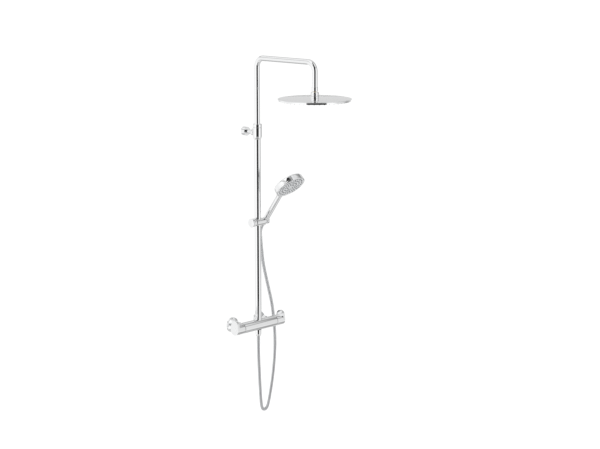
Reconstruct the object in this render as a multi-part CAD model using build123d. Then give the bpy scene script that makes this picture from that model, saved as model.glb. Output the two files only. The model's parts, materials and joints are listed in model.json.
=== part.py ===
from build123d import *
import os
from math import cos, pi, radians, sin, sqrt, tan

# Rainfall shower column for a wall.  +X runs along the mixer bar to the user's right, -Y points
# into the room, +Z is up.  The origin is on the wall, midway between the two water inlets.

# ------------------------------------------------------------------ driving dimensions (mm)
INLET_PITCH = 150.0          # standard distance between hot and cold inlets
RISER_Y = -78.0              # riser axis, measured from the wall
BAR_Y = RISER_Y              # the riser stands on the axis of the mixer bar
BAR_Z = 1.0                  # mixer bar axis above the inlets
BAR_R = 22.25
BODY_HALF = 91.0             # seams between the body and the two handles
BAR_HALF = 134.0             # ends of the two handles
SEAM = 0.4                   # running gap between a handle and the body
LOWER_TUBE_R = 13.0
LOWER_BORE_R = 11.5
UPPER_TUBE_R = 11.0
UPPER_BORE_R = 9.8
ARM_Z = 1086.0               # arm centreline
ARM_REACH = 316.0            # riser axis to drop axis
ARM_BEND_R = 35.0
COLLAR_R = 18.0
COLLAR_LOW = 762.0
COLLAR_SEAM = 809.0
COLLAR_TOP = 823.5
BRACKET_Z = 788.5
HEAD_R = 142.5
HEAD_RIM_Z = 948.0           # top edge of the rain head
SLIDER_Z = 426.0
HANDSET_X = 40.0             # handset axis, to the right of the riser
HANDSET_LEAN = 36.7          # handle axis from the vertical, towards the room
HOSE_R = 6.5
HOSE_BORE_R = 4.2
FIT = 0.05                   # radial clearance of running fits
LOOSE = 0.3                  # clearance of curved faces that only pass each other

DROP_Y = RISER_Y - ARM_REACH
HOSE_EXIT_Z = BAR_Z - 47.0   # lower face of the hose's lower nut

# Hose route, from the lower nut to the cone nut under the handset.
HOSE_ROUTE = [
    (0, -78, -46),
    (0, -78, -110),
    (5, -76, -180),
    (12, -73, -250),
    (21, -68, -312),
    (32, -62, -359),
    (51, -53, -377),
    (78, -42, -381),
    (100, -32, -369),
    (122, -22, -326),
    (138, -20, -265),
    (149, -20, -190),
    (153, -21, -110),
    (147, -22, -35),
    (135, -24, 45),
    (113, -27, 115),
    (87, -33, 185),
    (66, -39, 245),
    (52, -46, 300),
    (43, -50, 350),
    (40, -49.9, 388.3),
    (40, -67.2, 411.6),
]
LOWER_SEAM = 16              # the run where the slider's length of hose begins
UPPER_SEAM = 18              # the run where the holder's length of hose begins


# ------------------------------------------------------------------ helpers
def turned(outline):
    """Solid of revolution about Z from a closed outline of (radius, height) points."""
    points = [(radius, 0, height) for radius, height in outline]
    return revolve(make_face(Polyline(*points, close=True)), Axis.Z)


def ring(outer, inner, low, high):
    """Plain ring or tube along Z."""
    return turned([(inner, low), (outer, low), (outer, high), (inner, high)])


def rod(radius, low, high):
    """Plain cylinder along Z."""
    return Pos(0, 0, (low + high) / 2) * Cylinder(radius, high - low)


def hexagon(across_flats, low, high):
    """Hexagonal bar along Z."""
    outline = RegularPolygon(across_flats / 2, 6, major_radius=False)
    return Pos(0, 0, low) * extrude(outline, high - low)


def towards_wall(x, y, z):
    """Plane whose +Z points at the wall."""
    return Plane(origin=(x, y, z), x_dir=(1, 0, 0), z_dir=(0, 1, 0))


def on_bar(side):
    """Plane on the mixer axis whose +Z points outwards on one side and whose +X is up."""
    return Plane(origin=(0, BAR_Y, BAR_Z), x_dir=(0, 0, 1), z_dir=(side, 0, 0))


def on_riser(z):
    """Place on the riser axis at a height."""
    return Pos(0, RISER_Y, z)


def on_bracket():
    """Plane on the wall at the bracket whose +Z points into the room."""
    return Plane(origin=(0, 0, BRACKET_Z), x_dir=(1, 0, 0), z_dir=(0, -1, 0))


def save(name, shape):
    """Write one named piece."""
    export_step(shape, f"parts/{name}.step")


def both_inlets(piece):
    """The same piece at the hot and the cold inlet."""
    return Compound(children=[piece(x) for x in (-INLET_PITCH / 2, INLET_PITCH / 2)])


# ------------------------------------------------------------------ mixer
NECK_R = 10.0
NECK_FLANGE_R = 12.0
NECK_BORE_R = 7.5
NECK_END_Y = -42.0           # inlet necks end here
CARTRIDGE_R = 16.0
CARTRIDGE_FLOOR = 46.0
CHAMBER_R = 8.0
SOCKET_FLOOR = 9.0           # riser socket floor above the bar axis
SOCKET_WATER_R = 5.0
SEAL_R = 14.6
SPOTFACE = 20.5              # flat under the bar for the outlet nipple
OUTLET_SPIGOT_R = 8.0
GRUB_R = 2.5
GRUB_LENGTH = 4.0
GRUB_Z = 14.0
UNION_R = 13.2               # three-quarter inch thread
UNION_WAIST_R = 11.7
UNION_BORE_R = 6.0
STUD_R = 10.48               # half inch thread that screws into the wall
STUD_LENGTH = 18.0
UNION_NUT_AF = 31.0
ROSETTE_R = 30.5
ROSETTE_DEPTH = 14.0


def mixer_body():
    """Brass bar with inlet necks, riser socket, outlet and cartridge bores."""
    half = BODY_HALF - SEAM / 2
    shell = rod(BAR_R, -half, half)
    shell = fillet(shell.edges().filter_by(GeomType.CIRCLE), 0.5)
    body = on_bar(1) * shell
    for x in (-INLET_PITCH / 2, INLET_PITCH / 2):
        base = towards_wall(x, BAR_Y, BAR_Z)
        reach = NECK_END_Y - BAR_Y
        body += base * rod(NECK_R, 0, reach)
        body += base * rod(NECK_FLANGE_R, reach - 2.5, reach)
    body -= on_bar(1) * rod(CARTRIDGE_R, CARTRIDGE_FLOOR, half + 1)
    body -= on_bar(-1) * rod(CARTRIDGE_R, CARTRIDGE_FLOOR, half + 1)
    body -= on_bar(1) * rod(CHAMBER_R, -CARTRIDGE_FLOOR, CARTRIDGE_FLOOR)
    for x in (-INLET_PITCH / 2, INLET_PITCH / 2):
        base = towards_wall(x, BAR_Y, BAR_Z)
        body -= base * rod(NECK_BORE_R, CARTRIDGE_R - 4, NECK_END_Y - BAR_Y + 1)
    body -= Pos(0, RISER_Y, BAR_Z) * rod(LOWER_TUBE_R, SOCKET_FLOOR, 30)
    body -= Pos(0, RISER_Y, BAR_Z) * ring(SEAL_R, LOWER_TUBE_R, SOCKET_FLOOR, SOCKET_FLOOR + 2)
    body -= Pos(0, RISER_Y, BAR_Z) * rod(SOCKET_WATER_R, 0, SOCKET_FLOOR)
    body -= Pos(0, RISER_Y, BAR_Z) * rod(13, -30, -SPOTFACE)
    body -= Pos(0, RISER_Y, BAR_Z) * rod(OUTLET_SPIGOT_R, -SPOTFACE, 0)
    body -= towards_wall(0, RISER_Y, BAR_Z + GRUB_Z) * rod(GRUB_R, LOWER_TUBE_R - 1, 30)
    return body


def riser_seal_ring():
    """Square-section ring that seals the riser in its socket."""
    low = BAR_Z + SOCKET_FLOOR
    return on_riser(low) * ring(SEAL_R, LOWER_TUBE_R + 0.02, 0, 2)


def riser_grub_screw():
    """Socket screw behind the bar that pins the riser."""
    screw = rod(GRUB_R, 0, GRUB_LENGTH) - hexagon(GRUB_R, GRUB_LENGTH - 2, GRUB_LENGTH + 1)
    return towards_wall(0, RISER_Y + LOWER_TUBE_R, BAR_Z + GRUB_Z) * screw


def outlet_nipple():
    """Threaded nipple under the bar for the hose."""
    nipple = turned([(5, 4), (OUTLET_SPIGOT_R, 4), (OUTLET_SPIGOT_R, 12.5), (12.5, 12.5),
                     (12.5, 15), (10.4, 15), (10.4, 27), (5, 27)])
    flipped = Plane(origin=(0, RISER_Y, BAR_Z - SPOTFACE + 12.5), z_dir=(0, 0, -1))
    return flipped * nipple


def inlet_seals():
    """One flat washer with a strainer cup at each inlet."""
    washer = ring(NECK_FLANGE_R, 6.0, 0, 2) + ring(7.0, 6.0, -6, 0.5)
    washer += turned([(0, -6), (7.0, -6), (7.0, -5), (0, -5)])
    holes = [Pos(2.6 * cos(k * pi / 3), 2.6 * sin(k * pi / 3), -7) * rod(0.8, 0, 3) for k in range(6)]
    for hole in holes:
        washer -= hole
    pair = [towards_wall(x, NECK_END_Y, BAR_Z) * washer for x in (-INLET_PITCH / 2, INLET_PITCH / 2)]
    return Compound(children=pair)


def check_valves():
    """Non-return valve cartridge in each inlet neck."""
    cage = ring(NECK_BORE_R - 0.02, 5.5, 0, 9) + rod(1.0, 0, 9)
    for k in range(3):
        cage += Rot(0, 0, 120 * k) * Pos(3.2, 0, 1) * Box(5.4, 1.2, 2)
    disc = rod(4.6, 5.0, 6.4)
    cage += disc
    start = NECK_END_Y - 15.5
    pair = [towards_wall(x, start, BAR_Z) * cage for x in (-INLET_PITCH / 2, INLET_PITCH / 2)]
    return Compound(children=pair)


def union_nut(x):
    """Captive hexagon nut between an inlet neck and its wall union."""
    nut = hexagon(UNION_NUT_AF, 0, 17) & turned(
        [(0, 0), (16.6, 0), (18.0, 1.2), (18.0, 15.8), (16.6, 17), (0, 17)])
    nut -= rod(NECK_R + 0.1, -1, 18)
    nut -= rod(UNION_R, 2.3, 18)
    return towards_wall(x, NECK_END_Y - 4.8, BAR_Z) * nut


def inlet_union(x):
    """Eccentric union from the wall thread up to the mixer axis."""
    front = NECK_END_Y + 2.0
    union = towards_wall(x, front, BAR_Z) * rod(UNION_R - FIT, 0, 12)
    waist_start = front + 12
    union += towards_wall(x, waist_start, BAR_Z) * rod(UNION_WAIST_R, 0, 6)
    union += towards_wall(x, waist_start + 6, 0) * rod(13.0, 0, -(waist_start + 6))
    union += towards_wall(x, 0, 0) * rod(STUD_R, 0, STUD_LENGTH)
    union -= towards_wall(x, front, BAR_Z) * rod(7.4, -1, 17)
    union -= towards_wall(x, waist_start + 4, 0) * rod(UNION_BORE_R, 0, 60)
    return union


def wall_rosette(x):
    """Domed cover where a union enters the wall."""
    rim = ROSETTE_R
    dome = turned([(14.0, 0), (rim, 0), (rim, 3), (rim - 1.5, 6.5), (rim - 6, 10.5), (rim - 12, 13.2),
                   (14.0, ROSETTE_DEPTH)])
    hollow = turned([(13.3, -1), (rim - 2, -1), (rim - 2, 3), (rim - 7, 9), (14.0, 12), (13.3, 12)])
    cover = dome - hollow
    cover -= rod(13.0 + FIT, -1, 20)
    return Plane(origin=(x, 0, 0), x_dir=(1, 0, 0), z_dir=(0, -1, 0)) * cover


# ------------------------------------------------------------------ handles and cartridges
SPINDLE_R = 4.0
SPINDLE_START = 64.0
SPINDLE_END = 106.0
HANDLE_FLOOR = 99.0          # inner face of a handle's web
FIN_TOP = 38.0               # highest point of the upright lever, from the bar axis
FIN_R = 19.0                 # radius of the lever's rounded top
FIN_THICK = 10.0
FIN_EDGE_R = 2.5
BUTTON_X = 108.0
BUTTON_R = 4.0
CAP_R = 11.0
CAP_DEPTH = 1.6


def cartridge(body_radius):
    """Cylindrical valve cartridge with a bore for its spindle, along +Z from its floor."""
    piece = rod(body_radius, CARTRIDGE_FLOOR, 84)
    piece += rod(body_radius - 2.5, 84, 94)
    piece -= rod(SPINDLE_R + FIT, SPINDLE_START - 0.2, 95)
    for k in range(4):
        port = Rot(0, 0, 90 * k + 45) * Pos(body_radius, 0, 60) * Box(6, 5, 8)
        piece -= port
    for z in (50.0, 78.0):
        piece -= ring(body_radius + 1, body_radius - 1.2, z, z + 2.2)
    return piece


def spindle(side):
    """Shaft that a handle turns inside its cartridge."""
    shaft = rod(SPINDLE_R, SPINDLE_START, SPINDLE_END)
    shaft -= rod(1.6, SPINDLE_END - 10, SPINDLE_END + 1)
    return on_bar(side) * shaft


def thermostatic_cartridge():
    """Cartridge that mixes hot and cold water to the set temperature."""
    return on_bar(-1) * cartridge(CARTRIDGE_R - 0.02)


def flow_cartridge():
    """Ceramic cartridge that opens the flow and picks the outlet."""
    return on_bar(1) * cartridge(CARTRIDGE_R - 0.02)


def stop_ring(side, stop_angle):
    """Plastic ring on the cartridge shoulder with a stop lug."""
    piece = ring(18.6, CARTRIDGE_R - 2.5 + FIT, 91.5, 95.5)
    piece += Rot(0, 0, stop_angle) * Pos(17.6, 0, 93.5) * Box(3.0, 3.0, 4.0)
    return on_bar(side) * piece


def lever_outline():
    """Outline of the handle's end: the bar's circle drawn up into a rounded lever along +X."""
    rise = FIN_TOP - FIN_R
    slope = (BAR_R - FIN_R) / rise
    flank = sqrt(1 - slope ** 2)
    corners = [(BAR_R * slope, -BAR_R * flank), (rise + FIN_R * slope, -FIN_R * flank),
               (rise + FIN_R * slope, FIN_R * flank), (BAR_R * slope, BAR_R * flank)]
    outline = Circle(BAR_R) + Pos(rise, 0) * Circle(FIN_R)
    outline += make_face(Polyline(*corners, close=True))
    return outline


def handle(side, button):
    """Turned cup with a rounded lever at its outer end, gripping the cartridge spindle."""
    start = BODY_HALF + SEAM / 2
    cup = rod(BAR_R, start, BAR_HALF)
    lever = Pos(0, 0, BAR_HALF - FIN_THICK) * extrude(lever_outline(), FIN_THICK)
    piece = cup + lever
    outer_face = piece.faces().sort_by(Axis.Z)[-1]
    piece = fillet(outer_face.edges(), FIN_EDGE_R)
    inner_edge = piece.edges().filter_by(GeomType.CIRCLE).sort_by(Axis.Z)[0]
    piece = fillet([inner_edge], 0.5)
    piece -= rod(BAR_R - 2.2, start - 1, HANDLE_FLOOR)
    piece -= rod(SPINDLE_R, HANDLE_FLOOR - 1, SPINDLE_END)
    piece -= rod(1.7, 105, 115)
    piece -= rod(8.6, 112.0, BAR_HALF + 1)
    piece -= rod(CAP_R, BAR_HALF - CAP_DEPTH, BAR_HALF + 1)
    if button:
        hole = Pos(BAR_R - 7, 0, BUTTON_X) * Rot(0, 90, 0) * rod(BUTTON_R + FIT, 0, 12)
        piece -= Rot(0, 0, 180) * hole
    return on_bar(side) * piece


def handle_screw(side):
    """Countersunk screw that holds a handle on its spindle."""
    screw = rod(1.6, 96, 112) + rod(3.2, 112, 115)
    screw -= hexagon(2.5, 113.2, 116)
    return on_bar(side) * screw


def end_cap(side):
    """Thin disc that closes a handle's end."""
    cap = rod(CAP_R - 0.03, BAR_HALF - CAP_DEPTH, BAR_HALF)
    cap += ring(8.5, 7.3, BAR_HALF - 7, BAR_HALF - 1.5)
    top = cap.faces().sort_by(Axis.Z)[-1].edges()
    cap = fillet(top, 0.4)
    return on_bar(side) * cap


def safety_button():
    """Push button that releases the hot-side stop, under the temperature handle."""
    button = rod(BUTTON_R, 3.5, 8.0)
    button = fillet(button.faces().sort_by(Axis.Z)[-1].edges(), 0.8)
    piece = Rot(0, 0, 180) * Pos(BAR_R - 7, 0, BUTTON_X) * Rot(0, 90, 0) * button
    return on_bar(-1) * piece


# ------------------------------------------------------------------ riser and arm
SOCKET_TUBE_LOW = BAR_Z + SOCKET_FLOOR
UPPER_TUBE_LOW = 560.0
LOWER_TUBE_TOP = 808.0
DROP_END = 992.0             # lower end of the drop


def lower_riser_tube():
    """Outer tube from the mixer up into the collar."""
    return on_riser(0) * ring(LOWER_TUBE_R, LOWER_BORE_R, SOCKET_TUBE_LOW, LOWER_TUBE_TOP)


def telescope_seal():
    """Sealing sleeve on the lower end of the upper tube."""
    sleeve = ring(LOWER_BORE_R - FIT, UPPER_BORE_R, UPPER_TUBE_LOW - 24, UPPER_TUBE_LOW)
    for z in (-18, -9):
        sleeve -= ring(13, LOWER_BORE_R - 1.0, UPPER_TUBE_LOW + z, UPPER_TUBE_LOW + z + 2)
    sleeve += ring(UPPER_BORE_R, 8.0, UPPER_TUBE_LOW - 6, UPPER_TUBE_LOW)
    sleeve += ring(UPPER_BORE_R - FIT, 8.0, UPPER_TUBE_LOW, UPPER_TUBE_LOW + 12)
    return on_riser(0) * sleeve


def arm_path():
    """Centreline of the upper tube: up the riser, over the arm and down the drop."""
    low = (0, RISER_Y, UPPER_TUBE_LOW)
    corner = (0, RISER_Y, ARM_Z)
    turn = (0, DROP_Y, ARM_Z)
    drop = (0, DROP_Y, DROP_END)
    return FilletPolyline(low, corner, turn, drop, radius=ARM_BEND_R)


def arm_tube():
    """Upper tube, bent into the arm and the drop."""
    section = Plane(origin=(0, RISER_Y, UPPER_TUBE_LOW), z_dir=(0, 0, 1)) * (
        Circle(UPPER_TUBE_R) - Circle(UPPER_BORE_R))
    return sweep(section, path=arm_path())


# ------------------------------------------------------------------ collar and wall bracket
BOSS_R = 13.5
BOSS_END = 27.0              # end of the collar's rear boss, from the riser axis
STEM_R = 8.3
STEM_SOCKET_R = 8.35
BRACKET_ROSETTE_R = 17.5
BRACKET_ROSETTE_DEPTH = 20.5
PLATE_R = 15.0
PLATE_DEPTH = 14.0
WALL_HOLE_R = 2.6            # clears a 5 mm wall screw
BOSS_GRUB_R = 2.0
BOSS_GRUB_Y = 21.5           # from the riser axis towards the wall
CLAMP_RING_HEIGHT = 10.0


def collar_body():
    """Collar on top of the lower tube with the boss for the wall bracket."""
    outline = [(LOWER_TUBE_R + FIT, COLLAR_LOW), (14.5, COLLAR_LOW), (COLLAR_R, COLLAR_LOW + 11),
               (COLLAR_R, COLLAR_SEAM - 0.8), (COLLAR_R - 0.8, COLLAR_SEAM),
               (15.5, COLLAR_SEAM), (15.5, LOWER_TUBE_TOP - 6), (LOWER_TUBE_R + FIT, LOWER_TUBE_TOP - 6)]
    body = on_riser(0) * turned(outline)
    boss = towards_wall(0, RISER_Y, BRACKET_Z) * rod(BOSS_R, 10, BOSS_END)
    boss = fillet(boss.faces().sort_by(Axis.Y)[-1].edges(), 1.5)
    boss -= on_riser(0) * rod(LOWER_TUBE_R + FIT, COLLAR_LOW, COLLAR_TOP)
    body += boss
    body -= towards_wall(0, RISER_Y, BRACKET_Z) * rod(STEM_SOCKET_R, 17.0, 40)
    body -= on_riser(BRACKET_Z) * Pos(0, BOSS_GRUB_Y, -20) * rod(BOSS_GRUB_R, 0, 14)
    return body


def collar_grub_screw():
    """Socket screw under the boss that holds the bracket stem."""
    screw = rod(BOSS_GRUB_R, 0, 4.5) - hexagon(2.0, -1, 2.2)
    return on_riser(BRACKET_Z) * Pos(0, BOSS_GRUB_Y, -STEM_R - 4.6) * screw


def clamp_ring():
    """Split nylon ring that grips the upper tube."""
    top = LOWER_TUBE_TOP + CLAMP_RING_HEIGHT
    piece = ring(15.3, UPPER_TUBE_R + FIT, LOWER_TUBE_TOP, top)
    piece -= Pos(0, 15, (LOWER_TUBE_TOP + top) / 2) * Box(1.2, 14, 20)
    return on_riser(0) * piece


def collar_clamp_nut():
    """Round nut on the collar that squeezes the clamp ring."""
    ceiling = LOWER_TUBE_TOP + CLAMP_RING_HEIGHT + 0.1
    outline = [(15.4, COLLAR_SEAM + 0.3), (COLLAR_R - 0.8, COLLAR_SEAM + 0.3),
               (COLLAR_R, COLLAR_SEAM + 1.1), (COLLAR_R, COLLAR_TOP - 2.2),
               (COLLAR_R - 2.2, COLLAR_TOP), (UPPER_TUBE_R + LOOSE, COLLAR_TOP),
               (UPPER_TUBE_R + LOOSE, ceiling), (15.4, ceiling)]
    return on_riser(0) * turned(outline)


def bracket_stem():
    """Rod from the collar boss to the wall plate."""
    start = RISER_Y + 17.2
    stem = towards_wall(0, start, BRACKET_Z) * rod(STEM_R, 0, -start - PLATE_DEPTH + 8)
    stem -= towards_wall(0, -PLATE_DEPTH, BRACKET_Z) * rod(4.8, -3, 20)
    return stem


def bracket_rosette():
    """Cylindrical cover over the bracket's wall plate."""
    deep = BRACKET_ROSETTE_DEPTH
    cover = turned([(0, 0), (BRACKET_ROSETTE_R, 0), (BRACKET_ROSETTE_R, deep - 1.5),
                    (BRACKET_ROSETTE_R - 1.5, deep), (0, deep)])
    cover -= rod(PLATE_R + 0.6, -1, deep - 2.5)
    cover -= rod(STEM_R + FIT, -1, deep + 1)
    return on_bracket() * cover


def bracket_wall_plate():
    """Disc screwed to the wall that carries the stem."""
    plate = rod(PLATE_R, 0, PLATE_DEPTH)
    plate -= rod(STEM_SOCKET_R, PLATE_DEPTH - 8, PLATE_DEPTH + 1)
    plate -= rod(WALL_HOLE_R, -1, PLATE_DEPTH)
    return on_bracket() * plate


# ------------------------------------------------------------------ rain head
BALL_R = 8.5
BALL_Z = 966.0
DROP_NUT_LOW = 976.0
DROP_NUT_TOP = 992.5
SOCKET_NUT_LOW = HEAD_RIM_Z + 2.5
HEAD_THICK = 8.0


def on_drop(z):
    """Place on the axis of the drop at a height."""
    return Pos(0, DROP_Y, z)


def drop_nut():
    """Ring nut at the lower end of the drop."""
    outline = [(8.6, DROP_NUT_LOW + 3), (12.5, DROP_NUT_LOW + 3), (12.5, DROP_NUT_TOP - 1),
               (11.5, DROP_NUT_TOP), (UPPER_TUBE_R + FIT, DROP_NUT_TOP),
               (UPPER_TUBE_R + FIT, DROP_END), (8.6, DROP_END)]
    return on_drop(0) * turned(outline)


def ball_nipple():
    """Threaded nipple inside the drop that carries the ball."""
    piece = ring(8.55, 4.0, DROP_NUT_LOW + 1, DROP_END)
    piece += ring(UPPER_BORE_R - 0.05, 4.0, DROP_END, DROP_END + 12)
    piece += ring(5.2, 4.0, BALL_Z + 2, DROP_NUT_LOW + 1)
    return on_drop(0) * piece


def swivel_ball():
    """Ball that turns on the nipple's stub."""
    ball = Pos(0, 0, BALL_Z) * Sphere(BALL_R)
    ball -= rod(5.2 + FIT, BALL_Z + 1.9, BALL_Z + 20)
    ball -= rod(3.5, BALL_Z - 20, BALL_Z + 3)
    return on_drop(0) * ball


def ball_seat():
    """Plastic ring under the ball with a spherical face."""
    seat = ring(12.0, 5.0, SOCKET_NUT_LOW, BALL_Z - 1.5)
    seat -= Pos(0, 0, BALL_Z) * Sphere(BALL_R + FIT)
    return on_drop(0) * seat


def socket_nut():
    """Nut that captures the ball on the rain head."""
    nut = turned([(12.1, SOCKET_NUT_LOW), (16, SOCKET_NUT_LOW), (16, BALL_Z + 4.5),
                  (14.0, BALL_Z + 7.5), (7.0, BALL_Z + 7.5), (7.0, BALL_Z - 1.4), (12.1, BALL_Z - 1.4)])
    nut -= Pos(0, 0, BALL_Z) * Sphere(BALL_R + FIT)
    for k in range(24):
        nut -= Rot(0, 0, 15 * k) * Pos(16.15, 0, BALL_Z - 4) * Cylinder(0.5, 14)
    return on_drop(0) * nut


def head_top_plate():
    """Thin stainless disc with a raised hub for the ball joint."""
    outline = [(5.0, HEAD_RIM_Z - 1.2), (HEAD_R - 1.0, HEAD_RIM_Z - 3.0), (HEAD_R, HEAD_RIM_Z - 2.2),
               (HEAD_R, HEAD_RIM_Z - 0.8), (HEAD_R - 0.8, HEAD_RIM_Z), (24.0, HEAD_RIM_Z + 1.2),
               (17.0, SOCKET_NUT_LOW), (5.0, SOCKET_NUT_LOW)]
    return on_drop(0) * turned(outline)


HEAD_WATER_TOP = HEAD_RIM_Z - 3.0
SPRAY_R = HEAD_R - 6.0
SPRAY_LOW = HEAD_RIM_Z - 9.0


def head_spray_plate():
    """Lower disc with a shallow rim and the nozzle holes."""
    cup = rod(SPRAY_R + 3, SPRAY_LOW, HEAD_WATER_TOP)
    cup -= rod(SPRAY_R, SPRAY_LOW + 2.0, HEAD_WATER_TOP + 1)
    for radius, count in nozzle_rings():
        for k in range(count):
            angle = 2 * pi * k / count
            cup -= Pos(radius * cos(angle), radius * sin(angle), SPRAY_LOW) * Cylinder(1.9, 8)
    return on_drop(0) * cup


def nozzle_rings():
    """Radius and count of each ring of nozzles on the rain head."""
    return [(22.0 * ring_number, 7 * ring_number) for ring_number in range(1, 7)]


def head_nozzle_mat():
    """Silicone mat whose nozzles stand through the spray plate."""
    mat = rod(SPRAY_R - 0.3, SPRAY_LOW + 2.0, SPRAY_LOW + 3.5)
    nozzle = Cone(1.3, 1.8, 4.5)
    for radius, count in nozzle_rings():
        for k in range(count):
            angle = 2 * pi * k / count
            mat += Pos(radius * cos(angle), radius * sin(angle), SPRAY_LOW) * nozzle
    return on_drop(0) * mat


# ------------------------------------------------------------------ hand shower holder
SLIDER_HALF = 13.5
SLIDER_LEFT = -17.0
DRUM_START = 22.0
DRUM_END = 56.0
DRUM_R = 13.5
CONE_TOP_R = 12.0
CONE_LOW_R = 10.2
CONE_HALF = 15.0
CLAMP_R = 5.0


def along_x(x):
    """Plane on the slider axis whose +Z points along +X."""
    return Plane(origin=(x, RISER_Y, SLIDER_Z), x_dir=(0, 1, 0), z_dir=(1, 0, 0))


def slider_body():
    """Block that rides on the riser, with the clamp boss on the left and the drum seat on the right."""
    outline = SlotOverall(2 * 19.0, 2 * SLIDER_HALF)
    body = along_x(SLIDER_LEFT) * extrude(outline, DRUM_START - SLIDER_LEFT)
    body = fillet(body.faces().sort_by(Axis.X)[0].edges(), 2.5)
    body -= on_riser(SLIDER_Z) * Cylinder(LOWER_TUBE_R + 1.6, 60)
    body -= along_x(-30) * rod(CLAMP_R, 0, 20)
    body -= along_x(10) * rod(3.0, 0, 30)
    return body


def slider_liner():
    """Plastic bush between the slider and the riser."""
    bush = ring(LOWER_TUBE_R + 1.58, LOWER_TUBE_R + FIT, -13, 13)
    bush = on_riser(SLIDER_Z) * bush
    bush -= along_x(-30) * rod(CLAMP_R + 0.1, 0, 20)
    return bush


def brake_pad():
    """Small pad pressed on the riser by the clamp screw."""
    pad = along_x(-15.0) * rod(CLAMP_R - 0.1, 0, 4)
    return pad - on_riser(SLIDER_Z) * Cylinder(LOWER_TUBE_R + FIT, 60)


def slider_knob():
    """Clamp knob with a waisted side and a slightly domed face."""
    outline = [(0, 0.3), (12, 0.3), (12.4, 3.0), (13.6, 8.0), (16.2, 14.0), (17.8, 18.0), (17.8, 20.5),
               (16.8, 21.6), (9.0, 22.4), (0, 22.6)]
    knob = turned(outline) - rod(CLAMP_R + 0.05, -1, 12)
    return Plane(origin=(SLIDER_LEFT, RISER_Y, SLIDER_Z), x_dir=(0, 1, 0), z_dir=(-1, 0, 0)) * knob


def clamp_screw():
    """Stud fixed in the knob that pushes the brake pad."""
    return along_x(SLIDER_LEFT - 11.9) * rod(CLAMP_R - FIT, 0, 13.8)


def drum_washer():
    """Friction washer between the slider and the drum."""
    return along_x(DRUM_START) * ring(12.5, 3.1, 0, 0.8)


def handset_plane(distance):
    """Plane across the handset axis, its +Z along the axis towards the head."""
    lean = radians(HANDSET_LEAN)
    axis = (0, -sin(lean), cos(lean))
    origin = (HANDSET_X, RISER_Y + axis[1] * distance, SLIDER_Z + axis[2] * distance)
    return Plane(origin=origin, x_dir=(1, 0, 0), z_dir=axis)


def holder_drum():
    """Tilting drum with the conical seat for the handset."""
    drum = along_x(DRUM_START + 0.8) * rod(DRUM_R, 0, DRUM_END - DRUM_START - 0.8)
    drum = fillet(drum.faces().sort_by(Axis.X)[-1].edges(), 1.5)
    drum -= handset_plane(0) * Cone(CONE_LOW_R, CONE_TOP_R, 2 * CONE_HALF + 10)
    drum -= handset_plane(0) * Pos(0, -14, 0) * Box(15.0, 30, 50)
    drum -= along_x(DRUM_START) * rod(3.05, 0, 6.5)
    return drum


def drum_pivot():
    """Screw that holds the drum on the slider."""
    return along_x(16.0) * rod(3.0, 0, DRUM_START - 16.0 + 6.0)


# ------------------------------------------------------------------ handset
NUT_LOW = -17.9              # lower end of the hose's cone nut, along the handset axis
NUT_TOP = 13.4
HANDLE_TOP = 160.0
HANDLE_LOW_R = 11.7
HANDLE_HIGH_R = 10.6
WATERWAY_R = 5.5
HEAD_FACE_R = 63.0
HEAD_DEPTH = 28.0
HEAD_WALL_R = 62.2           # outer wall of the housing
HEAD_INNER_R = 58.5
HEAD_RIM_DEPTH = 6.0
HEAD_TILT = 42.0             # face plane, from the vertical towards the room
HEAD_CENTRE_Y = RISER_Y - 147.2
HEAD_CENTRE_Z = SLIDER_Z + 153.5


def cone_radius(distance):
    """Radius of the holder's conical seat at a distance along its axis."""
    span = 2 * CONE_HALF + 10
    return CONE_LOW_R + (CONE_TOP_R - CONE_LOW_R) * (distance + span / 2) / span


def hose_cone_nut():
    """Conical nut that rests in the holder and screws on the handset."""
    gap = 0.05
    low_r = cone_radius(NUT_LOW) - gap
    high_r = cone_radius(NUT_TOP) - gap
    nut = turned([(5.0, NUT_LOW), (low_r - 1.2, NUT_LOW), (low_r, NUT_LOW + 1.2), (high_r, NUT_TOP),
                  (8.6, NUT_TOP), (8.6, NUT_TOP - 12), (5.0, NUT_TOP - 12)])
    return handset_plane(0) * nut


def hose_top_washer():
    """Flat washer between hose and handset."""
    return handset_plane(0) * ring(8.5, 5.0, NUT_TOP - 12, NUT_TOP - 10)


def handset_nipple():
    """Threaded brass end of the handle."""
    return handset_plane(0) * ring(8.55, 5.0, NUT_TOP - 10, NUT_TOP + 12)


def handset_face(depth):
    """Plane of the handset's face; +Z is the spray direction, depth is measured backwards."""
    tilt = radians(HEAD_TILT)
    normal = (0, -sin(tilt), -cos(tilt))
    origin = (HANDSET_X, HEAD_CENTRE_Y - normal[1] * depth, HEAD_CENTRE_Z - normal[2] * depth)
    return Plane(origin=origin, x_dir=(1, 0, 0), z_dir=normal)


def housing_profiles():
    """Outer solid and cavity of the round housing behind the face."""
    back = -HEAD_DEPTH
    outer = turned([(0, back), (36, back + 0.4), (52, back + 1.4), (59.5, back + 3.4),
                    (HEAD_WALL_R, back + 7), (HEAD_WALL_R, -HEAD_RIM_DEPTH), (0, -HEAD_RIM_DEPTH)])
    cavity = turned([(0, back + 3), (36, back + 3.4), (50, back + 4.4), (56.5, back + 6.4),
                     (HEAD_INNER_R, back + 9), (HEAD_INNER_R, 0), (0, 0)])
    return outer, cavity


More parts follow.
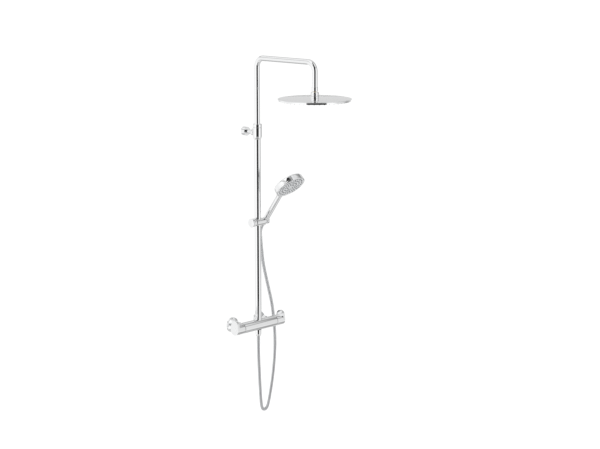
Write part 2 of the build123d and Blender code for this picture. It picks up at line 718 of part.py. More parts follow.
def handset_shells():
    """Handle and housing, parted where the handle meets the housing."""
    outer, cavity = housing_profiles()
    housing = handset_face(0) * outer
    start = NUT_TOP + 0.4
    face_space = handset_face(0) * rod(HEAD_FACE_R, -HEAD_RIM_DEPTH - 1, 1)
    handle_solid = taper(start, HANDLE_LOW_R, HANDLE_TOP, HANDLE_HIGH_R) - housing - face_space
    handle_solid -= taper(start, 8.6, start + 12, 8.6)
    waterway = taper(start + 10, WATERWAY_R, HANDLE_TOP + 4, WATERWAY_R)
    handle_solid -= waterway
    housing = housing - handset_face(0) * cavity - waterway
    return handle_solid.solids().sort_by(SortBy.VOLUME)[-1], housing


def taper(low, low_r, high, high_r):
    """Straight taper along the handset axis."""
    cone = Cone(low_r, high_r, high - low) if low_r != high_r else Cylinder(low_r, high - low)
    return handset_plane((low + high) / 2) * cone


def handset_rim_ring():
    """Bright ring round the face."""
    inner = HEAD_INNER_R + 0.1
    rim = turned([(inner, -HEAD_RIM_DEPTH), (HEAD_FACE_R - 1.0, -HEAD_RIM_DEPTH),
                  (HEAD_FACE_R, 1 - HEAD_RIM_DEPTH), (HEAD_FACE_R, -1.0), (HEAD_FACE_R - 1.0, 0), (inner, 0)])
    return handset_face(0) * rim


def handset_nozzle_spots():
    """Places of the nozzles on the handset face."""
    spots = []
    for radius, count in ((14, 10), (26, 18), (38, 26), (50, 32)):
        for k in range(count):
            angle = 2 * pi * k / count
            spots.append((radius * cos(angle), radius * sin(angle)))
    return spots


def handset_spray_plate():
    """Grey spray face with its nozzle holes."""
    plate = rod(HEAD_INNER_R, -4.0, -0.8)
    for x, y in handset_nozzle_spots():
        plate -= Pos(x, y, -2) * Cylinder(1.3, 8)
    return handset_face(0) * plate


def handset_nozzle_mat():
    """Silicone mat behind the spray face."""
    mat = rod(55.0, -5.4, -4.0)
    for x, y in handset_nozzle_spots():
        mat += Pos(x, y, -2.0) * Cone(1.25, 0.9, 4.2)
    return handset_face(0) * mat


# ------------------------------------------------------------------ hose
def hose_lower_nut():
    """Nut that screws the hose on the mixer outlet."""
    low = HOSE_EXIT_Z
    top = BAR_Z - SPOTFACE - 2.6
    nut = turned([(HOSE_BORE_R, low), (9.0, low), (11.2, low + 5), (11.9, low + 9), (11.9, top - 0.6),
                  (11.3, top), (10.45, top), (10.45, low + 10), (HOSE_BORE_R, low + 10)])
    return on_riser(0) * nut


def hose_bottom_washer():
    """Flat washer in the lower nut."""
    return on_riser(HOSE_EXIT_Z + 10) * ring(10.0, 5.0, 0, 2)


def route_radii(route):
    """Bend radius at each inner point of a route."""
    points = [Vector(*point) for point in route]
    radii = []
    for before, here, after in zip(points, points[1:], points[2:]):
        first = here - before
        second = after - here
        turn = radians(first.get_angle(second))
        radii.append(0.45 * min(first.length, second.length) / tan(turn / 2))
    return radii


def seam_point(index):
    """Middle of the run that starts at a route point."""
    start = Vector(*HOSE_ROUTE[index])
    end = Vector(*HOSE_ROUTE[index + 1])
    return tuple((start + end) * 0.5)


def hose_piece(first, last):
    """Tube along the route from the seam after one point to the seam after another."""
    radii = route_radii(HOSE_ROUTE)
    start = HOSE_ROUTE[0] if first is None else seam_point(first)
    end = HOSE_ROUTE[-1] if last is None else seam_point(last)
    low = 1 if first is None else first + 1
    high = len(HOSE_ROUTE) - 1 if last is None else last + 1
    corners = HOSE_ROUTE[low:high]
    path = FilletPolyline(start, *corners, end, radius=radii[low - 1:high - 1])
    heading = Vector(*corners[0]) - Vector(*start)
    section = Plane(origin=start, z_dir=heading) * (Circle(HOSE_R) - Circle(HOSE_BORE_R))
    tube = sweep(section, path=path)
    expected = pi * (HOSE_R ** 2 - HOSE_BORE_R ** 2) * path.length
    print(f"hose piece: length {path.length:.0f} mm, volume ratio {tube.volume / expected:.3f}")
    return tube


# ------------------------------------------------------------------ build everything
def build():
    """Write every piece."""
    os.makedirs("parts", exist_ok=True)
    save("mixer_body", mixer_body())
    save("riser_seal_ring", riser_seal_ring())
    save("outlet_nipple", outlet_nipple())
    save("inlet_seals", inlet_seals())
    save("check_valves", check_valves())
    save("union_nuts", both_inlets(union_nut))
    save("inlet_unions", both_inlets(inlet_union))
    save("wall_rosettes", both_inlets(wall_rosette))
    save("thermostatic_cartridge", thermostatic_cartridge())
    save("flow_cartridge", flow_cartridge())
    for side, word in ((-1, "temperature"), (1, "flow")):
        save(f"{word}_spindle", spindle(side))
        save(f"{word}_handle", handle(side, side < 0))
        save(f"{word}_handle_screw", handle_screw(side))
        save(f"{word}_end_cap", end_cap(side))
    save("safety_button", safety_button())
    save("lower_riser_tube", lower_riser_tube())
    save("telescope_seal", telescope_seal())
    save("arm_tube", arm_tube())
    save("collar_body", collar_body())
    save("grub_screws", Compound(children=[riser_grub_screw(), collar_grub_screw()]))
    save("stop_rings", Compound(children=[stop_ring(side, 60) for side in (-1, 1)]))
    save("clamp_ring", clamp_ring())
    save("collar_clamp_nut", collar_clamp_nut())
    save("bracket_stem", bracket_stem())
    save("bracket_rosette", bracket_rosette())
    save("bracket_wall_plate", bracket_wall_plate())
    save("drop_nut", drop_nut())
    save("ball_nipple", ball_nipple())
    save("swivel_ball", swivel_ball())
    save("ball_seat", ball_seat())
    save("socket_nut", socket_nut())
    save("head_top_plate", head_top_plate())
    save("head_spray_plate", head_spray_plate())
    save("head_nozzle_mat", head_nozzle_mat())
    save("slider_body", slider_body())
    save("slider_liner", slider_liner())
    save("brake_pad", brake_pad())
    save("slider_knob", slider_knob())
    save("clamp_screw", clamp_screw())
    save("drum_washer", drum_washer())
    save("holder_drum", holder_drum())
    save("drum_pivot", drum_pivot())
    save("hose_cone_nut", hose_cone_nut())
    save("hose_top_washer", hose_top_washer())
    save("handset_nipple", handset_nipple())
    handle_shell, housing = handset_shells()
    save("handset_handle", handle_shell)
    save("handset_head_shell", housing)
    save("handset_rim_ring", handset_rim_ring())
    save("handset_spray_plate", handset_spray_plate())
    save("handset_nozzle_mat", handset_nozzle_mat())
    save("hose_lower_nut", hose_lower_nut())
    save("hose_bottom_washer", hose_bottom_washer())
    save("hose_lower", hose_piece(None, LOWER_SEAM))
    save("hose_middle", hose_piece(LOWER_SEAM, UPPER_SEAM))
    save("hose_upper", hose_piece(UPPER_SEAM, None))
    print("bend radii", [round(radius) for radius in route_radii(HOSE_ROUTE)])


build()
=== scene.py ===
"""Studio model of a wall-mounted rain shower column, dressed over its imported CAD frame."""

import json
import logging
import math
from dataclasses import dataclass
from enum import Enum

import bmesh
import bpy
from mathutils import Matrix, Vector


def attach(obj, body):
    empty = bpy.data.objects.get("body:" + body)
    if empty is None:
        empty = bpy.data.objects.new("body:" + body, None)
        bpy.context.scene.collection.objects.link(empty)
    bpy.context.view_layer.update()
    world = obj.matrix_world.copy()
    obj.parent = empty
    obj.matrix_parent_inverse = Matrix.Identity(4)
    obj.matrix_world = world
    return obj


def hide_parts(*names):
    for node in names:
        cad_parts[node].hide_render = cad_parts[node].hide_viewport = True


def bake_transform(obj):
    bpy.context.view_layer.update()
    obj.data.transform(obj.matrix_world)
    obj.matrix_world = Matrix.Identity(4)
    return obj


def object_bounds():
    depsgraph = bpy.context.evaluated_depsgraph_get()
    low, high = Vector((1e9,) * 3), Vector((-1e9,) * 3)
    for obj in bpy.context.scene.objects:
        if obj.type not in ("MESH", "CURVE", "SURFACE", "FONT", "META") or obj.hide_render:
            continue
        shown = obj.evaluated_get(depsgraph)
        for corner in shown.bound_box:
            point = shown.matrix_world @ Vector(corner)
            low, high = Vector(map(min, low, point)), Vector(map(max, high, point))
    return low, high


# Places are in metres; outlines and the sizes of the pieces are in millimetres.
MM = 0.001
SMOOTH_ANGLE = math.radians(32)
MERGE = 1e-6
NEARLY_PARALLEL = 0.999
ROUND_STEPS = 5
LOG = logging.getLogger("shower_column")

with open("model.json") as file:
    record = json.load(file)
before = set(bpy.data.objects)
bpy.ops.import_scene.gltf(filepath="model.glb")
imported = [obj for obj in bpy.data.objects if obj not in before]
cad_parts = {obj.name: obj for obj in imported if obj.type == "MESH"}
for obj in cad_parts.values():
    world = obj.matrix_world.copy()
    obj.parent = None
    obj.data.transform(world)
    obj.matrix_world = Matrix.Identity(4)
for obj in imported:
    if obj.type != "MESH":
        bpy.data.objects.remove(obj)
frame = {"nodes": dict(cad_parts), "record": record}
CAD_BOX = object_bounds()


# ---------------------------------------------------------------- directions and placements
class Direction(Enum):
    """Ways a turned piece's axis can point in the row frame."""

    UP = (0.0, 0.0, 1.0)
    RIGHT = (1.0, 0.0, 0.0)
    LEFT = (-1.0, 0.0, 0.0)
    ROOM = (0.0, -1.0, 0.0)
    WALL = (0.0, 1.0, 0.0)


def aimed(origin: Vector, axis: Vector, up: Vector = Vector((0, 0, 1))) -> Matrix:
    """Placement whose local +Z follows an axis and whose local +X is as near up as it can be.

    Args:
        origin: where the local origin goes, in metres.
        axis: the direction of local +Z.
        up: the direction that local +X leans to.

    Returns:
        The placement matrix.
    """
    z = axis.normalized()
    if abs(z.dot(up.normalized())) > NEARLY_PARALLEL:
        up = Vector((1, 0, 0))
    x = (up - z * up.dot(z)).normalized()
    y = z.cross(x)
    turn = Matrix((x, y, z)).transposed()
    return Matrix.Translation(origin) @ turn.to_4x4()


# ---------------------------------------------------------------- shader writing
class Wire:
    """A shader socket, or a plain number, that can be used in arithmetic."""

    def __init__(self, tree: bpy.types.NodeTree, source: bpy.types.NodeSocket) -> None:
        """Holds the socket and the tree that new Math nodes are added to."""
        self.tree = tree
        self.source = source

    def _math(self, operation: str, first: object, second: object = None) -> "Wire":
        """Adds one Math node.

        Args:
            operation: the Math node's operation.
            first: first operand.
            second: second operand, if the operation has one.

        Returns:
            The result.
        """
        node = self.tree.nodes.new("ShaderNodeMath")
        node.operation = operation
        for socket, value in zip(node.inputs, (first, second)):
            if value is None:
                continue
            if isinstance(value, Wire):
                self.tree.links.new(value.source, socket)
            else:
                socket.default_value = float(value)
        return Wire(self.tree, node.outputs[0])

    def __add__(self, other: object) -> "Wire":
        """self + other."""
        return self._math("ADD", self, other)

    __radd__ = __add__

    def __sub__(self, other: object) -> "Wire":
        """self - other."""
        return self._math("SUBTRACT", self, other)

    def __rsub__(self, other: object) -> "Wire":
        """other - self."""
        return self._math("SUBTRACT", other, self)

    def __mul__(self, other: object) -> "Wire":
        """self * other."""
        return self._math("MULTIPLY", self, other)

    __rmul__ = __mul__

    def clamped(self) -> "Wire":
        """The value kept between 0 and 1."""
        return self._math("MINIMUM", self._math("MAXIMUM", self, 0.0), 1.0)

    def sine(self) -> "Wire":
        """Sine of the value in radians."""
        return self._math("SINE", self)

    def angle_from(self, other: "Wire") -> "Wire":
        """Angle whose tangent is self over other, in radians."""
        return self._math("ARCTAN2", self, other)


class Shader:
    """A node tree with one way to add nodes."""

    def __init__(self, tree: bpy.types.NodeTree) -> None:
        """Empties the tree."""
        self.tree = tree
        tree.nodes.clear()

    def node(self, kind: str, settings: dict[str, object], inputs: dict[object, object]) -> bpy.types.Node:
        """Adds a node: settings first, then the values or links of its sockets.

        Args:
            kind: the node's type, such as "ShaderNodeTexNoise".
            settings: attributes of the node; "stops" gives a colour ramp's stops.
            inputs: socket name or index to a number, a colour or a Wire.

        Returns:
            The node.
        """
        made = self.tree.nodes.new(kind)
        for key, value in settings.items():
            if key == "stops":
                self._set_stops(made, value)
            else:
                setattr(made, key, value)
        for key, value in inputs.items():
            socket = made.inputs[key]
            if isinstance(value, Wire):
                self.tree.links.new(value.source, socket)
            else:
                socket.default_value = value
        return made

    @staticmethod
    def _set_stops(node: bpy.types.Node, stops: list[tuple[float, float]]) -> None:
        """Gives a colour ramp grey stops of (position, level)."""
        ramp = node.color_ramp
        while len(ramp.elements) > 1:
            ramp.elements.remove(ramp.elements[-1])
        ramp.elements[0].position = stops[0][0]
        ramp.elements[0].color = (stops[0][1],) * 3 + (1.0,)
        for position, level in stops[1:]:
            element = ramp.elements.new(position)
            element.color = (level,) * 3 + (1.0,)

    def wire(self, node: bpy.types.Node, output: object = 0) -> Wire:
        """One output of a node as a Wire."""
        return Wire(self.tree, node.outputs[output])

    def place(self) -> Wire:
        """Object coordinates."""
        return self.wire(self.node("ShaderNodeTexCoord", {}, {}), "Object")

    def axes(self, vector: Wire) -> tuple[Wire, Wire, Wire]:
        """The three parts of a vector."""
        split = self.node("ShaderNodeSeparateXYZ", {}, {0: vector})
        return self.wire(split, 0), self.wire(split, 1), self.wire(split, 2)

    def noise(self, vector: Wire, scale: float, detail: float = 3.0, rough: float = 0.5) -> Wire:
        """Noise level over a vector.

        Args:
            vector: where the noise is read.
            scale: how fine it is, per metre.
            detail: octaves.
            rough: how strong the finer octaves are.

        Returns:
            The level, about 0 to 1.
        """
        made = self.node("ShaderNodeTexNoise", {"noise_dimensions": "3D"},
                         {"Vector": vector, "Scale": scale, "Detail": detail, "Roughness": rough})
        return self.wire(made, 0)

    def blend(self, factor: Wire, low: tuple[float, ...], high: tuple[float, ...]) -> Wire:
        """Mixes two colours.

        Args:
            factor: 0 gives low, 1 gives high.
            low: first colour.
            high: second colour.

        Returns:
            The mixed colour.
        """
        made = self.node("ShaderNodeMix", {"data_type": "RGBA"},
                         {"Factor": factor, 6: (*low, 1.0), 7: (*high, 1.0)})
        return self.wire(made, 2)

    def bump(self, height: Wire, strength: float, distance: float) -> Wire:
        """Normal bent by a height.

        Args:
            height: the height, 0 to 1.
            strength: the Bump node's strength.
            distance: the height's span in metres.

        Returns:
            The normal.
        """
        made = self.node("ShaderNodeBump", {}, {"Strength": strength, "Distance": distance, "Height": height})
        return self.wire(made, 0)

    def surface(self, fixed: dict[str, object], varying: dict[str, Wire]) -> None:
        """Adds the Principled surface and joins it to the output.

        Args:
            fixed: socket values that are the same all over.
            varying: socket links.
        """
        made = self.node("ShaderNodeBsdfPrincipled", {}, {**fixed, **varying})
        self.node("ShaderNodeOutputMaterial", {}, {"Surface": self.wire(made)})


# ---------------------------------------------------------------- finishes
@dataclass(frozen=True)
class PolishedMetal:
    """Plated or polished metal with faint water marks and a very slight waviness."""

    name: str
    tint: tuple[float, float, float] = (0.94, 0.945, 0.95)
    shade: tuple[float, float, float] = (0.90, 0.905, 0.91)
    gloss: float = 0.03
    marks: float = 0.02
    wave: float = 0.0000015

    def material(self) -> bpy.types.Material:
        """Builds the finish."""
        made = bpy.data.materials.new(self.name)
        made.use_nodes = True
        shader = Shader(made.node_tree)
        here = shader.place()
        cloud = shader.noise(here, 9.0, 4.0, 0.6)
        spots = ((shader.noise(here, 210.0, 2.0, 0.5) - 0.60) * 6.0).clamped()
        swell = shader.noise(here, 26.0, 2.0, 0.4)
        shader.surface(
            {"Metallic": 1.0, "Specular IOR Level": 0.5},
            {
                "Base Color": shader.blend(cloud, self.shade, self.tint),
                "Roughness": self.gloss + cloud * self.marks + spots * self.marks,
                "Normal": shader.bump(swell, 0.25, self.wave),
            },
        )
        return made


@dataclass(frozen=True)
class TurnedMetal:
    """Bare machined metal with fine rings or lengthwise tool marks."""

    name: str
    tint: tuple[float, float, float]
    shade: tuple[float, float, float]
    pitch: float = 0.0004
    gloss: float = 0.22

    def material(self) -> bpy.types.Material:
        """Builds the finish."""
        made = bpy.data.materials.new(self.name)
        made.use_nodes = True
        shader = Shader(made.node_tree)
        here = shader.place()
        x, y, z = shader.axes(here)
        grooves = ((x + y + z) * (2 * math.pi / self.pitch)).sine() * 0.5 + 0.5
        cloud = shader.noise(here, 60.0, 4.0, 0.6)
        shader.surface(
            {"Metallic": 1.0},
            {
                "Base Color": shader.blend(cloud, self.shade, self.tint),
                "Roughness": self.gloss + cloud * 0.16,
                "Normal": shader.bump(grooves, 0.3, 0.00002),
            },
        )
        return made


@dataclass(frozen=True)
class Moulding:
    """Moulded plastic or rubber with a fine grain."""

    name: str
    tint: tuple[float, float, float]
    shade: tuple[float, float, float]
    gloss: float = 0.35
    grain: float = 900.0
    depth: float = 0.00004
    coat: float = 0.0

    def material(self) -> bpy.types.Material:
        """Builds the finish."""
        made = bpy.data.materials.new(self.name)
        made.use_nodes = True
        shader = Shader(made.node_tree)
        here = shader.place()
        cloud = shader.noise(here, 22.0, 5.0, 0.6)
        grain = shader.noise(here, self.grain, 3.0, 0.6)
        shader.surface(
            {"Metallic": 0.0, "Coat Weight": self.coat, "Coat Roughness": 0.08},
            {
                "Base Color": shader.blend(cloud, self.shade, self.tint),
                "Roughness": self.gloss + grain * 0.12,
                "Normal": shader.bump(grain, 0.35, self.depth),
            },
        )
        return made


@dataclass(frozen=True)
class WoundHose:
    """Metal spiral of a shower hose, with painted shade in the grooves between its turns."""

    name: str
    tint: tuple[float, float, float] = (0.80, 0.81, 0.82)
    # shade is the painted shade colour of the grooves; tint is the colour on the crests.
    shade: tuple[float, float, float] = (0.42, 0.43, 0.44)

    def material(self) -> bpy.types.Material:
        """Builds the finish from the tube's groove attribute, darkening the colour in the grooves as painted shade."""
        made = bpy.data.materials.new(self.name)
        made.use_nodes = True
        shader = Shader(made.node_tree)
        here = shader.place()
        crest = shader.wire(shader.node("ShaderNodeAttribute", {"attribute_name": "crest"}, {}), "Fac")
        cloud = shader.noise(here, 120.0, 4.0, 0.6)
        shader.surface(
            {"Metallic": 1.0},
            {
                # Painted shade: low crest values, in the grooves, pull the colour towards shade.
                "Base Color": shader.blend((crest * 0.85 + cloud * 0.3).clamped(), self.shade, self.tint),
                "Roughness": 0.52 - crest * 0.10 + cloud * 0.08,
            },
        )
        return made


class Finishes:
    """Every finish of the shower, made once."""

    def __init__(self) -> None:
        """Builds the materials."""
        self.chrome = PolishedMetal("polished_chrome").material()
        self.disc = PolishedMetal("polished_steel_disc", (0.90, 0.905, 0.91), (0.85, 0.86, 0.87), 0.06, 0.03).material()
        self.brass = TurnedMetal("machined_brass", (0.82, 0.66, 0.38), (0.62, 0.47, 0.24)).material()
        self.steel = TurnedMetal("machined_steel", (0.66, 0.67, 0.68), (0.48, 0.49, 0.50)).material()
        self.rubber = Moulding("black_seal_rubber", (0.05, 0.05, 0.055), (0.025, 0.025, 0.03), 0.55).material()
        self.silicone = Moulding("grey_nozzle_silicone", (0.42, 0.43, 0.44), (0.32, 0.33, 0.34), 0.40).material()
        self.white = Moulding("white_acetal", (0.86, 0.86, 0.84), (0.76, 0.76, 0.74), 0.30).material()
        self.face = Moulding("grey_spray_face", (0.74, 0.75, 0.76), (0.66, 0.67, 0.68), 0.20, coat=0.4).material()
        self.button = Moulding("red_stop_button", (0.55, 0.05, 0.04), (0.38, 0.03, 0.03), 0.25, coat=0.5).material()
        self.hose = WoundHose("wound_metal_hose").material()

    def for_slot(self, slot: str) -> bpy.types.Material:
        """The finish of a slot of the record.

        Args:
            slot: the record's material slot.

        Returns:
            The material.
        """
        by_slot = {
            "chrome": self.chrome, "chrome_head": self.disc, "brass": self.brass, "steel": self.steel,
            "rubber": self.rubber, "silicone": self.silicone, "white_plastic": self.white,
            "grey_plastic": self.face, "red_plastic": self.button, "hose": self.hose,
        }
        return by_slot[slot]


# ---------------------------------------------------------------- mesh helpers
def finished(bm: bmesh.types.BMesh, name: str, finish: bpy.types.Material, body: str,
             replaced: tuple[str, ...] = (),
             bends: tuple[str, Vector, Vector] | None = None) -> bpy.types.Object:
    """Turns a bmesh into a piece that rides on a body, or is left unattached in world space.

    Args:
        bm: the mesh, already in place in metres; it is freed.
        name: the piece's name.
        finish: its material.
        body: the CAD body it rides on.
        replaced: CAD nodes it stands for.
        bends: when given, the piece is left unattached in world space; the other body and the points it holds are not
            used.

    Returns:
        The piece.
    """
    bmesh.ops.remove_doubles(bm, verts=bm.verts, dist=MERGE)
    bmesh.ops.recalc_face_normals(bm, faces=bm.faces)
    mesh = bpy.data.meshes.new(name)
    bm.to_mesh(mesh)
    bm.free()
    mesh.materials.append(finish)
    mesh.shade_smooth()
    mesh.set_sharp_from_angle(angle=SMOOTH_ANGLE)
    piece = bpy.data.objects.new(name, mesh)
    bpy.context.scene.collection.objects.link(piece)
    if bends:
        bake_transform(piece)
    else:
        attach(piece, body)
    if replaced:
        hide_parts(*replaced)
    LOG.info("%s: %d faces on %s", name, len(mesh.polygons), body)
    return piece


def lathe(bm: bmesh.types.BMesh, outline: list[tuple[float, float, float]], place: Matrix, steps: int = 96) -> None:
    """Spins a closed outline about local +Z and adds the solid to a bmesh.

    Args:
        bm: where the solid is added.
        outline: (radius, height, rounding) corners in millimetres, in order.
        place: placement of the local axes.
        steps: steps of the full turn.
    """
    part = bmesh.new()
    corners = [part.verts.new((r * MM, 0.0, h * MM)) for r, h, _ in outline]
    part.faces.new(corners)
    roundings = sorted({rounding for _, _, rounding in outline if rounding > 0})
    for rounding in roundings:
        chosen = [vert for vert, (_, _, own) in zip(corners, outline) if own == rounding]
        bmesh.ops.bevel(part, geom=chosen, offset=rounding * MM, offset_type="OFFSET", affect="VERTICES",
                        segments=ROUND_STEPS, profile=0.5, material=-1)
    bmesh.ops.delete(part, geom=part.faces[:], context="FACES_ONLY")
    on_axis = [edge for edge in part.edges if all(vert.co.x < 1e-7 for vert in edge.verts)]
    bmesh.ops.delete(part, geom=on_axis, context="EDGES")
    bmesh.ops.spin(part, geom=part.verts[:] + part.edges[:], cent=(0, 0, 0), axis=(0, 0, 1), dvec=(0, 0, 0),
                   angle=2 * math.pi, steps=steps, use_merge=True, use_normal_flip=False, use_duplicate=False)
    bmesh.ops.remove_doubles(part, verts=part.verts, dist=1e-7)
    bmesh.ops.recalc_face_normals(part, faces=part.faces)
    bmesh.ops.transform(part, matrix=place, verts=part.verts)
    joined(bm, part)


def joined(target: bmesh.types.BMesh, part: bmesh.types.BMesh) -> None:
    """Adds one bmesh to another and frees it.

    Args:
        target: the bmesh that grows.
        part: the bmesh that is added.
    """
    carrier = bpy.data.meshes.new("carrier")
    part.to_mesh(carrier)
    part.free()
    target.from_mesh(carrier)
    bpy.data.meshes.remove(carrier)


def extruded(bm: bmesh.types.BMesh, outline: list[tuple[float, float]], low: float, high: float, rounding: float,
             place: Matrix, both: bool = False) -> None:
    """Draws a flat outline out into a solid with rounded rims and adds it to a bmesh.

    Args:
        bm: where the solid is added.
        outline: (x, y) points in millimetres, in order.
        low: height of the first face, in millimetres.
        high: height of the second face.
        rounding: rounding of the second face's rim.
        place: placement of the local axes.
        both: whether the first face's rim is rounded too.
    """
    part = bmesh.new()
    floor = [part.verts.new((x * MM, y * MM, low * MM)) for x, y in outline]
    roof = [part.verts.new((x * MM, y * MM, high * MM)) for x, y in outline]
    part.faces.new(list(reversed(floor)))
    part.faces.new(roof)
    count = len(outline)
    for index in range(count):
        after = (index + 1) % count
        part.faces.new((floor[index], floor[after], roof[after], roof[index]))
    rims = [set(roof)] + ([set(floor)] if both else [])
    edges = [edge for edge in part.edges if any(set(edge.verts) <= rim for rim in rims)]
    bmesh.ops.bevel(part, geom=edges, offset=rounding * MM, offset_type="OFFSET", affect="EDGES",
                    segments=ROUND_STEPS, profile=0.5, material=-1)
    bmesh.ops.recalc_face_normals(part, faces=part.faces)
    bmesh.ops.transform(part, matrix=place, verts=part.verts)
    joined(bm, part)


def bored(bm: bmesh.types.BMesh, outline: list[tuple[float, float, float]], place: Matrix) -> None:
    """Cuts a turned shape out of a bmesh.

    Args:
        bm: the solid, which is changed.
        outline: (radius, height, rounding) corners of the hole in millimetres.
        place: placement of the hole, its axis along local +Z.
    """
    tool = bmesh.new()
    lathe(tool, outline, place, 128)
    holders: list[bpy.types.Object] = []
    for name, shape in (("solid", bm), ("hole", tool)):
        bmesh.ops.remove_doubles(shape, verts=shape.verts, dist=MERGE)
        bmesh.ops.recalc_face_normals(shape, faces=shape.faces)
        mesh = bpy.data.meshes.new(name)
        shape.to_mesh(mesh)
        holders.append(bpy.data.objects.new(name, mesh))
        bpy.context.scene.collection.objects.link(holders[-1])
    tool.free()
    cut = holders[0].modifiers.new("bore", "BOOLEAN")
    cut.operation = "DIFFERENCE"
    cut.solver = "EXACT"
    cut.object = holders[1]
    result = bpy.data.meshes.new_from_object(holders[0].evaluated_get(bpy.context.evaluated_depsgraph_get()))
    bm.clear()
    bm.from_mesh(result)
    bpy.data.meshes.remove(result)
    for holder in holders:
        bpy.data.meshes.remove(holder.data)


def swept(bm: bmesh.types.BMesh, line: list[Vector], radius: float, around: int = 64) -> None:
    """Skins a line of points with a round tube, closed at both ends, and adds it to a bmesh.

    Args:
        bm: where the tube is added.
        line: centre points, in metres.
        radius: the tube's radius, in metres.
        around: sides of the tube.
    """
    rings: list[list[bmesh.types.BMVert]] = []
    for index, centre in enumerate(line):
        before = line[max(index - 1, 0)]
        after = line[min(index + 1, len(line) - 1)]
        ring = bmesh.ops.create_circle(bm, cap_ends=False, segments=around, radius=radius)["verts"]
        bmesh.ops.transform(bm, matrix=aimed(centre, after - before, Vector((1, 0, 0))), verts=ring)
        rings.append(ring)
    for low, high in zip(rings, rings[1:]):
        for index in range(around):
            after = (index + 1) % around
            bm.faces.new((low[index], low[after], high[after], high[index]))
    bm.faces.new(rings[0])
    bm.faces.new(rings[-1])


def arc(centre: tuple[float, float], radius: float, start: float, end: float, steps: int) -> list[tuple[float, float]]:
    """Points of a circular arc.

    Args:
        centre: the arc's centre.
        radius: its radius.
        start: first angle, in degrees.
        end: last angle, in degrees.
        steps: number of steps.

    Returns:
        The points, both ends included.
    """
    angles = [math.radians(start + (end - start) * step / steps) for step in range(steps + 1)]
    return [(centre[0] + radius * math.cos(angle), centre[1] + radius * math.sin(angle)) for angle in angles]


# ---------------------------------------------------------------- mixer
@dataclass
class Mixer:
    """Bar mixer: body, turning handles, wall rosettes and union nuts."""

    finishes: Finishes
    centre: Vector = Vector((0.0, -0.078, 0.001))
    radius: float = 22.25
    seam: float = 90.8
    seam_gap: float = 1.2
    end: float = 134.0
    bore_r: float = 16.0
    cup_r: float = 20.05
    cap_r: float = 10.9
    lever_thick: float = 10.0
    lever_top: float = 38.0
    lever_r: float = 19.0
    inlets: tuple[float, float] = (-0.075, 0.075)

    def body(self) -> None:
        """Bar with its two inlet necks."""
        bm = bmesh.new()
        along = aimed(self.centre, Vector(Direction.RIGHT.value))
        lathe(bm, [(self.bore_r, -self.seam, 0), (self.radius, -self.seam, 0.7), (self.radius, self.seam, 0.7),
                   (self.bore_r, self.seam, 0), (self.bore_r, 46, 0), (8, 46, 0), (8, -46, 0),
                   (self.bore_r, -46, 0)], along, 128)
        for x in self.inlets:
            neck = aimed(Vector((x, self.centre.y, self.centre.z)), Vector(Direction.WALL.value))
            lathe(bm, [(7.5, 15, 0), (10, 15, 0), (10, 33.5, 0.8), (12, 33.5, 0.4), (12, 36, 0.4), (7.5, 36, 0.4)],
                  neck, 64)
        finished(bm, "mixer_bar", self.finishes.chrome, "column", ("mixer_body",))

    def lever(self) -> list[tuple[float, float]]:
        """Outline of a handle's end, with its rounded lever towards local +X."""
        rise = self.lever_top - self.lever_r
        lean = math.degrees(math.asin((self.radius - self.lever_r) / rise))
        top = arc((rise, 0), self.lever_r, -90 + lean, 90 - lean, 40)
        bar = arc((0, 0), self.radius, 90 - lean, 270 + lean, 56)
        return top + bar

    def handle(self, direction: Direction, word: str, body: str) -> None:
        """Cup and lever of one handle, and its end cap.

        Args:
            direction: the way the handle points.
            word: "temperature" or "flow".
            body: CAD body of the handle.
        """
        bm = bmesh.new()
        along = aimed(self.centre, Vector(direction.value))
        start = self.seam + self.seam_gap
        inside_lever = self.end - self.lever_thick + 1.0
        lathe(bm, [(self.cup_r, start, 0), (self.radius, start, 0.8), (self.radius, inside_lever, 0),
                   (4.0, inside_lever, 0), (4.0, 99, 0), (self.cup_r, 99, 1.0)], along, 128)
        extruded(bm, self.lever(), self.end - self.lever_thick, self.end, 2.4, along)
        finished(bm, f"{word}_lever", self.finishes.chrome, body, (f"{word}_handle",))
        cap = bmesh.new()
        lathe(cap, [(0, self.end - 1.2, 0), (self.cap_r, self.end - 1.2, 0), (self.cap_r, self.end + 0.25, 0.5),
                    (5.0, self.end + 0.45, 0), (0, self.end + 0.5, 0)], along, 96)
        finished(cap, f"{word}_cap", self.finishes.chrome, body, (f"{word}_end_cap",))

    def wall_side(self) -> None:
        """Domed rosettes and hexagon nuts at both inlets."""
        domes = bmesh.new()
        nuts = bmesh.new()
        hexagon = arc((0, 0), 15.5 / math.cos(math.pi / 6), 0, 300, 5)
        dome = [(13.3, 0, 0), (30.5, 0, 0.3), (30.5, 7.4, 1.0), (14.4, 14.0, 0.5), (13.3, 12.0, 0.3),
                (17.5, 11.0, 0), (23.5, 8.4, 0), (28.3, 3.0, 0)]
        for x in self.inlets:
            lathe(domes, dome, aimed(Vector((x, 0, 0)), Vector(Direction.ROOM.value)), 96)
            nut = aimed(Vector((x, -0.0468, self.centre.z)), Vector(Direction.WALL.value))
            extruded(nuts, hexagon, 1.2, 15.8, 1.0, nut, both=True)
            lathe(nuts, [(10.1, 0, 0), (14.6, 0, 0.6), (14.6, 17, 0.6), (13.2, 17, 0.3), (13.2, 3, 0), (10.1, 3, 0)],
                  nut, 64)
        finished(domes, "inlet_rosettes", self.finishes.chrome, "column", ("wall_rosettes",))
        finished(nuts, "inlet_nuts", self.finishes.chrome, "column", ("union_nuts",))

    def build(self) -> None:
        """Builds the mixer's shown pieces."""
        self.body()
        self.handle(Direction.LEFT, "temperature", "temperature_control")
        self.handle(Direction.RIGHT, "flow", "flow_control")
        self.wall_side()


